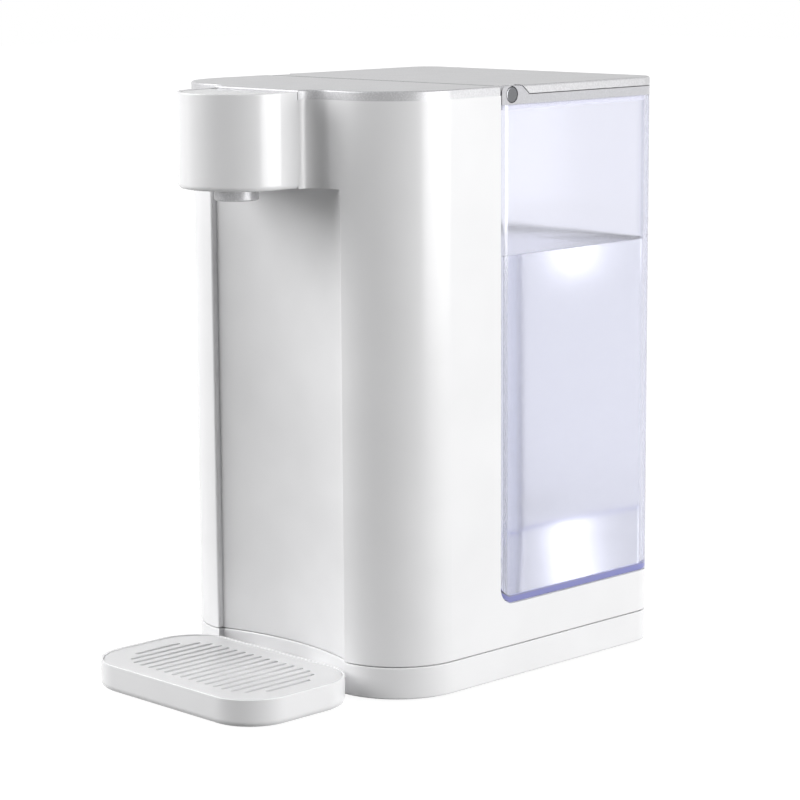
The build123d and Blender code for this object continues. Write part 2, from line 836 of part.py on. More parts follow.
def tank_collar():
    band = tank_plan() - tank_plan(collar_width)
    lip_inset = tank_wall + collar_fit
    lip = tank_plan(lip_inset) - tank_plan(lip_inset + collar_lip_wall)
    collar = prism(band, tank_top, collar_top) + prism(lip, tank_top - collar_lip_depth, tank_top)
    collar -= lid_pocket()
    for side in (-1, 1):
        cap_reach = (side * half_width, hinge_y, hinge_z)
        collar -= rod(cap_reach, (-side, 0, 0), pin_cap_thickness, pin_cap_radius + pin_cap_fit)
        collar -= rod(cap_reach, (-side, 0, 0), collar_width, pin_radius + curve_fit)
        collar += hinge_ear(side)
    return collar


def hinge_pins():
    pins = Part()
    inner_x = lid_cheek_x - lug_length
    cap_x = half_width - pin_cap_thickness
    for side in (-1, 1):
        axis = (side, 0, 0)
        cap = rod((side * cap_x, hinge_y, hinge_z), axis, pin_cap_thickness, pin_cap_radius)
        outer_edges = cap.edges().filter_by(GeomType.CIRCLE).sort_by(lambda e: abs(e.center().X))[-1]
        cap = fillet(outer_edges, pin_cap_round)
        pins += cap + rod((side * inner_x, hinge_y, hinge_z), axis, cap_x - inner_x, pin_radius)
    return pins


def valve_body():
    flange_bottom = tank_bottom + tank_floor
    body = post(0, valve_y, flange_bottom, valve_top, valve_flange_radius)
    body += post(0, valve_y, valve_neck_bottom, valve_top, valve_neck_radius)
    body -= post(0, valve_y, valve_seat_z, valve_top + overrun, valve_bore_radius)
    body -= post(0, valve_y, valve_neck_bottom - overrun, valve_seat_z + overrun, valve_seat_radius)
    bar_low = valve_top - valve_bar_height
    half_bar = valve_bar_width / 2
    reach = valve_bore_radius + valve_fit
    body += block((-reach, reach), (valve_y - half_bar, valve_y + half_bar), (bar_low, valve_top))
    body += block((-half_bar, half_bar), (valve_y - reach, valve_y + reach), (bar_low, valve_top))
    body += post(0, valve_y, bar_low, valve_top, valve_hub_radius)
    return body - post(0, valve_y, bar_low - overrun, valve_top + overrun, plunger_guide_radius + valve_fit)


def valve_plunger():
    plunger = post(0, valve_y, plunger_z, plunger_top, plunger_radius)
    plunger += post(0, valve_y, stem_bottom, plunger_z, stem_radius)
    return plunger + post(0, valve_y, plunger_top, valve_top + plunger_guide_rise, plunger_guide_radius)


def valve_washer():
    ring = Circle(plunger_radius) - Circle(stem_radius + curve_fit)
    return prism(Pos(0, valve_y) * ring, washer_z, plunger_z)


def valve_spring():
    """Coil between the plunger and the bars, as two tangent arcs to each quarter turn."""
    low = plunger_top + spring_wire_radius + curve_fit
    high = valve_top - valve_bar_height - spring_wire_radius - curve_fit
    rise = (high - low) / (2 * pi * spring_turns)

    def place(angle):
        return Vector(spring_radius * cos(angle), valve_y + spring_radius * sin(angle), low + rise * angle)

    def heading(angle):
        return Vector(-spring_radius * sin(angle), spring_radius * cos(angle), rise).normalized()

    arcs = []
    for quarter in range(round(4 * spring_turns)):
        start, end = quarter * pi / 2, (quarter + 1) * pi / 2
        chord = place(end) - place(start)
        both = heading(start) + heading(end)
        bend = 4 - both.dot(both)
        run = chord.dot(both)
        lead = (sqrt(run ** 2 + bend * chord.dot(chord)) - run) / bend
        first = place(start) + heading(start) * lead
        second = place(end) - heading(end) * lead
        middle = (first + second) / 2
        arcs.append(TangentArc(place(start), middle, tangent=heading(start)))
        arcs.append(TangentArc(middle, place(end), tangent=second - first))
    path = Wire(arcs)
    samples = [path @ (index / 100) for index in range(101)]
    half_turn = round(50 / spring_turns)
    least = min(
        (samples[a] - samples[b]).length
        for a in range(len(samples))
        for b in range(a + half_turn, len(samples))
    )
    print("valve spring, least gap between turns:", round(least - 2 * spring_wire_radius, 2), "mm")
    return sweep(Plane(origin=path @ 0, z_dir=path % 0) * Circle(spring_wire_radius), path=path)


# Lid

def lid_plan(inset=0):
    return tank_plan(inset, seam_y + lid_setback)


def lid_notch(side):
    """Corner of the lid that the hinge ear fills, with its slanted end."""
    slope = (notch_bottom - notch_top) / lid_thickness
    points = [
        (seam_y - overrun, lid_bottom - overrun),
        (seam_y + notch_bottom + slope * overrun, lid_bottom - overrun),
        (seam_y + notch_top - slope * overrun, total_height + overrun),
        (seam_y - overrun, total_height + overrun),
    ]
    notch = extrude(Plane.YZ * make_face(Polyline(*points, close=True)), collar_width + ear_gap + overrun)
    return Pos(lid_cheek_x if side > 0 else -half_width - overrun) * notch


def tank_lid():
    lid = prism(lid_plan(), lid_bottom, total_height)
    lid = fillet(lid.faces().sort_by(Axis.Z)[-1].edges(), lid_edge_round)
    front = seam_y + lid_setback
    middle = Pos((front + rear_y) / 2, (lid_bottom + total_height) / 2)
    side_view = middle * Rectangle(rear_y - front, lid_thickness)
    side_view = fillet(side_view.vertices().sort_by(lambda v: v.Y - v.X)[-1], lid_front_round)
    lid &= extrude(Plane.YZ * side_view, half_width, both=True)
    lid -= prism(lid_plan(lid_wall), lid_bottom - overrun, total_height - lid_skin)
    plug_inset = collar_width + seal_gap + seal_width
    plug_front = hinge_y + plug_setback - plug_inset
    plug_plan = tank_plan(plug_inset, plug_front) - tank_plan(plug_inset + plug_wall, plug_front)
    lid += prism(plug_plan, collar_top - plug_drop, total_height - lid_skin)
    for side in (-1, 1):
        lid -= lid_notch(side)
        cheek = sorted((side * (lid_cheek_x - lid_wall), side * lid_cheek_x))
        lid += block(cheek, (seam_y + lid_setback + lid_wall, seam_y + notch_bottom + lid_wall),
                     (lid_bottom, total_height - lid_skin))
        lug_x = sorted((side * (lid_cheek_x - lug_length), side * lid_cheek_x))
        lid += block(lug_x, (hinge_y - lug_radius, hinge_y + lug_radius), (hinge_z, total_height - lid_skin))
        lug_start = (side * (lid_cheek_x - lug_length), hinge_y, hinge_z)
        lid += rod(lug_start, (side, 0, 0), lug_length, lug_radius)
        lid -= rod(lug_start, (side, 0, 0), lug_length, pin_radius + curve_fit)
    return lid


def lid_seal():
    outer_inset = collar_width + seal_gap
    inner_inset = outer_inset + seal_width
    plug_front = hinge_y + plug_setback - inner_inset
    ring = tank_plan(outer_inset, plug_front) - tank_plan(inner_inset, plug_front)
    low = collar_top - plug_drop + seal_lift
    return prism(ring, low, low + seal_height)


# Tray

def drip_tray():
    tray = prism(tray_plan(), tray_lift, tray_height)
    tray = fillet(tray.faces().sort_by(Axis.Z)[0].edges(), tray_round)
    tray = fillet(tray.faces().sort_by(Axis.Z)[-1].edges(), tray_edge_round)
    tray -= prism(tray_plan(tray_wall), tray_lift + tray_floor, tray_height + overrun)
    tray -= prism(tray_plan(tray_rim), grille_bottom, tray_height + overrun)
    for side in (-1, 1):
        middle = side * tab_offset
        tray += block((middle - tab_width / 2, middle + tab_width / 2),
                      (tray_rear_y - tray_rim, tray_rear_y + tab_length), (tab_low, tab_low + tab_thickness))
    return tray


def drip_grille():
    grille = prism(tray_plan(tray_rim + grille_fit), grille_bottom, grille_bottom + grille_thickness)
    field_half = (slot_count - 1) / 2 * slot_pitch + slot_width / 2
    half_length = tray_depth / 2 - slot_margin
    middle_y = (tray_front_y + tray_rear_y) / 2
    slots = []
    for index in range(slot_count):
        x = (index - (slot_count - 1) / 2) * slot_pitch
        past = max(abs(x) - (field_half - slot_field_corner), 0)
        trim = slot_field_corner - sqrt(slot_field_corner ** 2 - past ** 2)
        slots.append(Pos(x, middle_y) * SlotOverall(2 * (half_length - trim), slot_width, rotation=90))
    return grille - [prism(slot, grille_bottom - overrun, tray_height + overrun) for slot in slots]


pieces = [
    base_pan, rubber_feet, base_screws, cord_gland,
    body_shell, alcove_liner, head_base, nozzle_ring, spout_tip, outlet_chamber,
    touch_panel, control_board, top_plate, tank_bay,
    valve_socket, socket_seal, inlet_hose, pump_cradle, pump_head, pump_motor, feed_hose,
    heater_tube, heater_caps, heater_clamps, thermostats, outlet_hose, power_board, board_parts,
    tank_shell, tank_collar, hinge_pins, valve_body, valve_plunger, valve_washer, valve_spring,
    tank_lid, lid_seal, drip_tray, drip_grille,
]
os.makedirs("parts", exist_ok=True)
for piece in pieces:
    export_step(piece(), f"parts/{piece.__name__}.step")
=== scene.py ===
import math
import bmesh
import bpy
from mathutils import Matrix, Vector


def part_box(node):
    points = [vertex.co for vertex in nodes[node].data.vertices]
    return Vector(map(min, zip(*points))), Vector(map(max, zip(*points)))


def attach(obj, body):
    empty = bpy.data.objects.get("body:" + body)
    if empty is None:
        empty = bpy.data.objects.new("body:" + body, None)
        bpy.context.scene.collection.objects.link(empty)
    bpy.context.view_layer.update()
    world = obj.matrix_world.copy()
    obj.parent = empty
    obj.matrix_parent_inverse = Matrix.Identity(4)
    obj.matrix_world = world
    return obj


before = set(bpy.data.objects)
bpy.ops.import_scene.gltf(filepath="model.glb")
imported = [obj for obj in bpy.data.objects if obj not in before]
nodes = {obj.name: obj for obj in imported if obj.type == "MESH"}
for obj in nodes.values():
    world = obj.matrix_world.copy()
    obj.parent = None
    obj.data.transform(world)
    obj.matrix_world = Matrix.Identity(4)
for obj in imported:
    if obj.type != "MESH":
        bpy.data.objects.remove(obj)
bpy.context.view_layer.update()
mm = 0.001
white = (1, 1, 1, 1)
print("frame loaded,", len(nodes), "CAD nodes")


# small helpers

def linear(hexColour):  # sRGB hex to the linear values that shaders use
    channels = [int(hexColour[i:i + 2], 16) / 255 for i in (1, 3, 5)]
    return [c / 12.92 if c <= 0.04045 else ((c + 0.055) / 1.055) ** 2.4 for c in channels] + [1.0]


def addNode(tree, kind, settings, links):  # one node, its settings, and what feeds its sockets
    node = tree.nodes.new(kind)
    for key, value in settings.items():
        if isinstance(key, str) and hasattr(node, key):
            setattr(node, key, value)
        else:
            node.inputs[key].default_value = value
    for key, source in links.items():
        tree.links.new(source, node.inputs[key])
    return node


def emptyMaterial(name):
    material = bpy.data.materials.new(name)
    material.use_nodes = True
    material.node_tree.nodes.clear()
    return material, material.node_tree


def perMetre(sizeMm):  # noise scale that gives features of about this size
    return 1 / (sizeMm * mm)


def dress(material, *names):  # CAD nodes keep their shape and get a better finish
    for name in names:
        nodes[name].data.materials.clear()
        nodes[name].data.materials.append(material)


def startFresh():
    if bpy.context.object and bpy.context.object.mode != "OBJECT":
        bpy.ops.object.mode_set(mode="OBJECT")
    bpy.ops.object.select_all(action="DESELECT")


def pick(piece):  # the only one selected, and active
    startFresh()
    piece.select_set(True)
    bpy.context.view_layer.objects.active = piece


def settle(piece, body, material):  # place in the mesh, object at the origin
    pick(piece)
    bpy.ops.object.transform_apply(location=True, rotation=True, scale=True)
    piece.data.materials.clear()
    piece.data.materials.append(material)
    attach(piece, body)


# shaping in edit mode

alongAxis = 0.9                # how squarely an edge or face has to point to be picked
closeTo = 1 * mm               # how near a face or edge has to lie to be picked
smoothUpTo = math.radians(40)


def startBlock(name, lowest, highest):  # a block between two corners, open in edit mode
    startFresh()
    bpy.ops.mesh.primitive_cube_add(size=1, location=(lowest + highest) / 2)
    piece = bpy.context.object
    piece.name = name
    piece.scale = highest - lowest
    bpy.ops.object.transform_apply(location=True, rotation=True, scale=True)
    bpy.ops.object.mode_set(mode="EDIT")
    return piece


def roundEdges(piece, picks, radius, segments):  # bevels what picks(middle, direction) chooses
    mesh = bmesh.from_edit_mesh(piece.data)
    for edge in mesh.edges:
        first, second = (v.co for v in edge.verts)
        edge.select_set(picks((first + second) / 2, (second - first).normalized()))
    bmesh.update_edit_mesh(piece.data)
    bpy.ops.mesh.select_mode(type="EDGE")
    bpy.ops.mesh.bevel(offset=radius, segments=segments, affect="EDGES", profile=0.5)
    bpy.ops.mesh.select_all(action="DESELECT")


# camera

camera = {
    "azimuth": 46.12,          # degrees from straight in front, towards +X
    "elevation": 10.07,
    "roll": -0.46,
    "distance": 1334.5 * mm,
    "lookAt": (-9.67 * mm, 14.9 * mm, 119.46 * mm),
    "lens": 122.33,
    "sensor": 36,
    "shift": (0.0403, 0.0145),
}


def placeCamera():
    a, e, r = (math.radians(camera[k]) for k in ("azimuth", "elevation", "roll"))
    back = Vector((math.sin(a) * math.cos(e), -math.cos(a) * math.cos(e), math.sin(e)))
    right = Vector((math.cos(a), math.sin(a), 0))
    up = back.cross(right)
    rolledRight = right * math.cos(r) + up * math.sin(r)
    rolledUp = up * math.cos(r) - right * math.sin(r)
    eye = Vector(camera["lookAt"]) + back * camera["distance"]
    data = bpy.data.cameras.new("photoCamera")
    data.lens = camera["lens"]
    data.sensor_width = camera["sensor"]
    data.shift_x, data.shift_y = camera["shift"]
    viewer = bpy.data.objects.new("photoCamera", data)
    bpy.context.scene.collection.objects.link(viewer)
    turn = Matrix((rolledRight, rolledUp, back)).transposed()
    viewer.matrix_world = Matrix.Translation(eye) @ turn.to_4x4()
    bpy.context.scene.camera = viewer


placeCamera()
print("camera placed")


# studio

studio = {
    "ambient": 0.04,           # world strength for diffuse light
    "backPanel": {"from": (0, 1, 0), "strength": 0.85},  # wide soft light on the back and top
    "aim": (0, 0.015, 0.14),
    "lights": {                # place in camera terms: right, towards camera, up; size; watts
        "rightSoftbox": {"at": (1.27, 0.72, 0.22), "size": (1.1, 0.7), "power": 19.5,
                         "inTank": False},
        "leftSoftbox": {"at": (-1.30, 0.10, 0.70), "size": (1.4, 1.1), "power": 26,
                        "inTank": False},
        "tankStrip": {"at": (-0.51, -0.062, 0.14), "size": (0.022, 0.36), "power": 0.07,
                      "inTank": True},  # seen in the tank
    },
}

floorBoard = {
    "half": 6.0,
    "roughness": 0.9,
    "near": {"glow": 0.92, "colour": "#606060", "reach": 0.36},  # keeps the object's soft shadow
    "far": {"glow": 1.0, "colour": "#101010", "reach": 0.75},    # even white up to the horizon
}


def seenByEye(tree):  # 1 where the camera looks straight at it, in a gloss or through the tank
    path = addNode(tree, "ShaderNodeLightPath", {}, {})
    straight = addNode(tree, "ShaderNodeMath", {"operation": "MAXIMUM"},
                       {0: path.outputs["Is Camera Ray"], 1: path.outputs["Is Glossy Ray"]})
    through = addNode(tree, "ShaderNodeMath", {"operation": "MAXIMUM"},
                      {0: straight.outputs[0], 1: path.outputs["Is Transmission Ray"]})
    return through.outputs[0]


def lightWorld():
    scene = bpy.context.scene
    scene.view_settings.view_transform = "Standard"
    world = bpy.data.worlds.new("paleStudio")
    scene.world = world
    world.use_nodes = True
    tree = world.node_tree
    tree.nodes.clear()
    panel = studio["backPanel"]
    way = addNode(tree, "ShaderNodeTexCoord", {}, {})
    behind = addNode(tree, "ShaderNodeVectorMath", {"operation": "DOT_PRODUCT", 1: panel["from"]},
                     {0: way.outputs["Generated"]})
    rising = addNode(tree, "ShaderNodeMapRange",
                     {"interpolation_type": "SMOOTHSTEP",
                      "To Min": studio["ambient"], "To Max": panel["strength"]},
                     {"Value": behind.outputs["Value"]})
    strength = addNode(tree, "ShaderNodeMapRange", {"To Max": 1.0},
                       {"Value": seenByEye(tree), "To Min": rising.outputs[0]})
    sky = addNode(tree, "ShaderNodeBackground", {"Color": white}, {"Strength": strength.outputs[0]})
    addNode(tree, "ShaderNodeOutputWorld", {}, {"Surface": sky.outputs[0]})


def placeLamps():
    a = math.radians(camera["azimuth"])
    right = Vector((math.cos(a), math.sin(a), 0))
    towards = Vector((math.sin(a), -math.cos(a), 0))
    aim = Vector(studio["aim"])
    for name, spec in studio["lights"].items():
        light = bpy.data.lights.new(name, "AREA")
        light.shape = "RECTANGLE"
        light.size, light.size_y = spec["size"]
        light.energy = spec["power"]
        lamp = bpy.data.objects.new(name, light)
        lamp.visible_transmission = spec["inTank"]
        bpy.context.scene.collection.objects.link(lamp)
        across, near, high = spec["at"]
        lamp.location = aim + right * across + towards * near + Vector((0, 0, high))
        lamp.rotation_euler = (aim - lamp.location).to_track_quat("-Z", "Y").to_euler()


def layFloor():
    startFresh()
    bpy.ops.mesh.primitive_plane_add(size=2 * floorBoard["half"], location=(0, 0, 0))
    floor = bpy.context.object
    floor.name = "studioFloor"
    material, tree = emptyMaterial("matt white studio board")
    near, far = floorBoard["near"], floorBoard["far"]
    place = addNode(tree, "ShaderNodeTexCoord", {}, {})
    away = addNode(tree, "ShaderNodeVectorMath", {"operation": "LENGTH"},
                   {0: place.outputs["Object"]})
    reach = addNode(tree, "ShaderNodeMapRange",
                    {"From Min": near["reach"], "From Max": far["reach"]},
                    {"Value": away.outputs["Value"]})
    colour = addNode(tree, "ShaderNodeMix",
                     {"data_type": "RGBA", 6: linear(near["colour"]), 7: linear(far["colour"])},
                     {"Factor": reach.outputs[0]})
    evenGlow = addNode(tree, "ShaderNodeMapRange", {"To Min": near["glow"], "To Max": far["glow"]},
                       {"Value": reach.outputs[0]})
    seenGlow = addNode(tree, "ShaderNodeMath", {"operation": "MULTIPLY"},
                       {0: seenByEye(tree), 1: evenGlow.outputs[0]})
    board = addNode(tree, "ShaderNodeBsdfPrincipled",
                    {"Roughness": floorBoard["roughness"], "Emission Color": white},
                    {"Base Color": colour.outputs[2], "Emission Strength": seenGlow.outputs[0]})
    addNode(tree, "ShaderNodeOutputMaterial", {}, {"Surface": board.outputs[0]})
    floor.data.materials.append(material)


lightWorld()
placeLamps()
layFloor()
print("studio built,", len(studio["lights"]), "lamps")


# moulded plastics

gloss = {
    "ior": 1.53,
    "driftMm": 45,             # slow change of tone
    "driftFrom": 0.35, "driftTo": 0.65,
    "rubMm": 9,                # patches a little duller and a little shinier
    "duller": 0.04, "shinier": 0.03,
    "rippleHeight": 0.05 * mm, "rippleStrength": 0.05,
}


def mouldedGloss(name, colour, deeper, roughness, rippleMm):
    # polished-mould plastic: high gloss, with the slow ripple and tone drift of thick mouldings
    material, tree = emptyMaterial(name)
    place = addNode(tree, "ShaderNodeTexCoord", {}, {})
    drift = addNode(tree, "ShaderNodeTexNoise",
                    {"Scale": perMetre(gloss["driftMm"]), "Detail": 2.0},
                    {"Vector": place.outputs["Object"]})
    tone = addNode(tree, "ShaderNodeValToRGB", {}, {"Fac": drift.outputs["Fac"]})
    deepEnd, paleEnd = tone.color_ramp.elements
    deepEnd.position, deepEnd.color = gloss["driftFrom"], linear(deeper)
    paleEnd.position, paleEnd.color = gloss["driftTo"], linear(colour)
    rub = addNode(tree, "ShaderNodeTexNoise", {"Scale": perMetre(gloss["rubMm"]), "Detail": 4.0},
                  {"Vector": place.outputs["Object"]})
    rough = addNode(tree, "ShaderNodeMapRange",
                    {"To Min": roughness - gloss["shinier"], "To Max": roughness + gloss["duller"]},
                    {"Value": rub.outputs["Fac"]})
    ripple = addNode(tree, "ShaderNodeTexNoise", {"Scale": perMetre(rippleMm), "Detail": 1.0},
                     {"Vector": place.outputs["Object"]})
    bump = addNode(tree, "ShaderNodeBump",
                   {"Strength": gloss["rippleStrength"], "Distance": gloss["rippleHeight"]},
                   {"Height": ripple.outputs["Fac"]})
    skin = addNode(tree, "ShaderNodeBsdfPrincipled", {"IOR": gloss["ior"]},
                   {"Base Color": tone.outputs[0], "Roughness": rough.outputs[0],
                    "Normal": bump.outputs[0]})
    addNode(tree, "ShaderNodeOutputMaterial", {}, {"Surface": skin.outputs[0]})
    return material


# casing: bright, with soft mirror lines; etched insert and liner: the same plastic, rougher and
# coloured darker, as painted shade in the alcove recess and on the grille's top
whiteAbs = mouldedGloss("gloss white ABS", "#F5F5F6", "#F1F1F2", 0.24, 6)
satinAbsPaintedShade = mouldedGloss("satin white ABS darkened as painted shade", "#E7E7E8", "#E1E1E2", 0.36, 5)
# polished panel: a sharp mirror
panelAcrylic = mouldedGloss("pale grey acrylic panel", "#9EA0A4", "#96989C", 0.12, 8)
# inside: milky and dull, black with a coarse skin, and the dark shine of a circuit board
innerPlastic = mouldedGloss("natural polypropylene", "#DEDEDA", "#D4D4CF", 0.40, 4)
pumpPlastic = mouldedGloss("black glass-filled nylon", "#242426", "#1C1C1E", 0.45, 2)
boardGreen = mouldedGloss("green solder mask", "#1F5A34", "#184A2A", 0.30, 1.5)


# paints

satin = {
    "flakeMm": 0.7,            # drawn coarser than life so that it shows
    "flakeFrom": 0.4, "flakeTo": 0.7,
    "rubMm": 14,
    "rubSpread": 0.05,
    "grainHeight": 0.02 * mm, "grainStrength": 0.06,
}


def satinPaint(name, colour, flake, metallic, roughness):
    # sprayed satin coat: an even sheen that breaks up into fine pearl flake close by
    material, tree = emptyMaterial(name)
    place = addNode(tree, "ShaderNodeTexCoord", {}, {})
    grit = addNode(tree, "ShaderNodeTexNoise", {"Scale": perMetre(satin["flakeMm"]), "Detail": 2.0},
                   {"Vector": place.outputs["Object"]})
    tone = addNode(tree, "ShaderNodeValToRGB", {}, {"Fac": grit.outputs["Fac"]})
    coatEnd, flakeEnd = tone.color_ramp.elements
    coatEnd.position, coatEnd.color = satin["flakeFrom"], linear(colour)
    flakeEnd.position, flakeEnd.color = satin["flakeTo"], linear(flake)
    rub = addNode(tree, "ShaderNodeTexNoise", {"Scale": perMetre(satin["rubMm"]), "Detail": 3.0},
                  {"Vector": place.outputs["Object"]})
    rough = addNode(tree, "ShaderNodeMapRange",
                    {"To Min": roughness - satin["rubSpread"],
                     "To Max": roughness + satin["rubSpread"]},
                    {"Value": rub.outputs["Fac"]})
    bump = addNode(tree, "ShaderNodeBump",
                   {"Strength": satin["grainStrength"], "Distance": satin["grainHeight"]},
                   {"Height": grit.outputs["Fac"]})
    skin = addNode(tree, "ShaderNodeBsdfPrincipled", {"Metallic": metallic},
                   {"Base Color": tone.outputs[0], "Roughness": rough.outputs[0],
                    "Normal": bump.outputs[0]})
    addNode(tree, "ShaderNodeOutputMaterial", {}, {"Surface": skin.outputs[0]})
    return material


# top and lid with a slight metal sparkle; the collar is plain grey with the same grain
silverPaint = satinPaint("satin silver paint", "#BCBCBE", "#CCCCCE", 0.25, 0.38)
collarGrey = satinPaint("satin grey ABS collar", "#BDBDC1", "#C8C8CC", 0.0, 0.40)


# clear tank and its water

tankWalls = {"side": 2.6 * mm, "floor": 3.0 * mm}

tankSkin = {
    "ior": 1.49,
    "haze": (0.10, 0.13),      # roughness, drifting along the flow of the melt
    "flowMm": 60,
    "plain": "#F7F7FA",
    "corner": "#EBECF4",       # upright rear corners: painted shade, darker lavender
    "cornerIn": (14 * mm, 8 * mm),       # in from the sides: where the tint starts and is full
    "cornerForward": (10 * mm, 5 * mm),  # in from the rear, likewise
    "cornerDense": 0.15,
    "footShade": "#9093CE",         # the floor's edge: painted shade, a dark lavender band
    "footFade": 0.8 * mm,
    "heelRise": 3 * mm,        # the floor's edge curls up at the front
    "heelLength": 5 * mm,
    "level": (0.9, 0.6),       # faces that lie this level stay clear
    "leastClear": 0.15,
    "depthColour": "#5A74CE",
    "depthDensity": 24,
}

waterSkin = {"ior": 1.333, "depthColour": "#8E97AF", "depthDensity": 1.35}

lampTint = "#F8F8FC"


def lampsPass(tree, skin):  # lamp light goes through clear plastic and water: no black shadow
    path = addNode(tree, "ShaderNodeLightPath", {}, {})
    passing = addNode(tree, "ShaderNodeBsdfTransparent", {"Color": linear(lampTint)}, {})
    return addNode(tree, "ShaderNodeMixShader", {},
                   {0: path.outputs["Is Shadow Ray"], 1: skin.outputs[0], 2: passing.outputs[0]})


def clearStyrene(name):
    # clear moulded SAN: faintly hazed, and its floor edge and upright rear corners painted darker
    # lavender and less clear: painted shade where the clear edges look dark
    material, tree = emptyMaterial(name)
    low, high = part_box("tank_shell")
    floorTop = low.z + tankWalls["floor"]
    place = addNode(tree, "ShaderNodeTexCoord", {}, {})
    axes = addNode(tree, "ShaderNodeSeparateXYZ", {}, {"Vector": place.outputs["Object"]})

    # the floor's edge, higher at the front heel: painted shade
    levelFrom, levelTo = tankSkin["level"]
    facing = addNode(tree, "ShaderNodeSeparateXYZ", {}, {"Vector": place.outputs["Normal"]})
    upright = addNode(tree, "ShaderNodeMath", {"operation": "ABSOLUTE"}, {0: facing.outputs["Z"]})
    onRim = addNode(tree, "ShaderNodeMapRange", {"From Min": levelFrom, "From Max": levelTo},
                    {"Value": upright.outputs[0]})
    heel = addNode(tree, "ShaderNodeMapRange",
                   {"From Min": low.y, "From Max": low.y + tankSkin["heelLength"],
                    "To Min": tankSkin["heelRise"], "To Max": 0},
                   {"Value": axes.outputs["Y"]})
    height = addNode(tree, "ShaderNodeMath", {"operation": "SUBTRACT"},
                     {0: axes.outputs["Z"], 1: heel.outputs[0]})
    atFoot = addNode(tree, "ShaderNodeMapRange",
                     {"From Min": floorTop + tankSkin["footFade"], "From Max": floorTop},
                     {"Value": height.outputs[0]})
    floorEdgeShade = addNode(tree, "ShaderNodeMath", {"operation": "MULTIPLY"},
                      {0: onRim.outputs[0], 1: atFoot.outputs[0]})

    # the upright rear corners: painted shade
    sideFrom, sideFull = tankSkin["cornerIn"]
    rearFrom, rearFull = tankSkin["cornerForward"]
    across = addNode(tree, "ShaderNodeMath", {"operation": "ABSOLUTE"}, {0: axes.outputs["X"]})
    atSide = addNode(tree, "ShaderNodeMapRange",
                     {"From Min": high.x - sideFrom, "From Max": high.x - sideFull},
                     {"Value": across.outputs[0]})
    atRear = addNode(tree, "ShaderNodeMapRange",
                     {"From Min": high.y - rearFrom, "From Max": high.y - rearFull},
                     {"Value": axes.outputs["Y"]})
    cornerShadeMask = addNode(tree, "ShaderNodeMath", {"operation": "MULTIPLY"},
                       {0: atSide.outputs[0], 1: atRear.outputs[0]})

    # tint with the painted shade of floor edge and corners, clearness and haze
    cornerShadeTint = addNode(tree, "ShaderNodeMix",
                         {"data_type": "RGBA", 6: linear(tankSkin["plain"]),
                          7: linear(tankSkin["corner"])},
                         {"Factor": cornerShadeMask.outputs[0]})
    tint = addNode(tree, "ShaderNodeMix", {"data_type": "RGBA", 7: linear(tankSkin["footShade"])},
                   {"Factor": floorEdgeShade.outputs[0], 6: cornerShadeTint.outputs[2]})
    dense = addNode(tree, "ShaderNodeMath",
                    {"operation": "MULTIPLY_ADD", 1: tankSkin["cornerDense"]},
                    {0: cornerShadeMask.outputs[0], 2: floorEdgeShade.outputs[0]})
    clear = addNode(tree, "ShaderNodeMapRange", {"To Min": 1.0, "To Max": tankSkin["leastClear"]},
                    {"Value": dense.outputs[0]})
    flow = addNode(tree, "ShaderNodeTexNoise",
                   {"Scale": perMetre(tankSkin["flowMm"]), "Detail": 1.0},
                   {"Vector": place.outputs["Object"]})
    leastHaze, mostHaze = tankSkin["haze"]
    haze = addNode(tree, "ShaderNodeMapRange", {"To Min": leastHaze, "To Max": mostHaze},
                   {"Value": flow.outputs["Fac"]})
    skin = addNode(tree, "ShaderNodeBsdfPrincipled", {"IOR": tankSkin["ior"]},
                   {"Base Color": tint.outputs[2], "Roughness": haze.outputs[0],
                    "Transmission Weight": clear.outputs[0]})
    depth = addNode(tree, "ShaderNodeVolumeAbsorption",
                    {"Color": linear(tankSkin["depthColour"]),
                     "Density": tankSkin["depthDensity"]}, {})
    surface = lampsPass(tree, skin)
    addNode(tree, "ShaderNodeOutputMaterial", {},
            {"Surface": surface.outputs[0], "Volume": depth.outputs[0]})
    return material


def tankWaterLook(name):
    # still water: sharp and colourless at the surface, blue by its depth
    material, tree = emptyMaterial(name)
    skin = addNode(tree, "ShaderNodeBsdfPrincipled",
                   {"Transmission Weight": 1.0, "IOR": waterSkin["ior"], "Roughness": 0.0,
                    "Base Color": white}, {})
    depth = addNode(tree, "ShaderNodeVolumeAbsorption",
                    {"Color": linear(waterSkin["depthColour"]),
                     "Density": waterSkin["depthDensity"]}, {})
    surface = lampsPass(tree, skin)
    addNode(tree, "ShaderNodeOutputMaterial", {},
            {"Surface": surface.outputs[0], "Volume": depth.outputs[0]})
    return material


tankClear = clearStyrene("clear SAN tank")
waterLook = tankWaterLook("still water")


# metals

grain = {
    "squeeze": (1, 1, 0.04),   # draws the noise out into lines along Z
    "least": 0.7, "most": 1.3,  # of the roughness
}


def brightMetal(name, colour, roughness, grainMm):
    # plated or drawn metal: a mirror, dulled unevenly by fine lines along Z
    material, tree = emptyMaterial(name)
    place = addNode(tree, "ShaderNodeTexCoord", {}, {})
    squeeze = addNode(tree, "ShaderNodeMapping", {"Scale": grain["squeeze"]},
                      {"Vector": place.outputs["Object"]})
    lines = addNode(tree, "ShaderNodeTexNoise", {"Scale": perMetre(grainMm), "Detail": 3.0},
                    {"Vector": squeeze.outputs[0]})
    rough = addNode(tree, "ShaderNodeMapRange",
                    {"To Min": roughness * grain["least"], "To Max": roughness * grain["most"]},
                    {"Value": lines.outputs["Fac"]})
    skin = addNode(tree, "ShaderNodeBsdfPrincipled",
                   {"Base Color": linear(colour), "Metallic": 1.0},
                   {"Roughness": rough.outputs[0]})
    addNode(tree, "ShaderNodeOutputMaterial", {}, {"Surface": skin.outputs[0]})
    return material


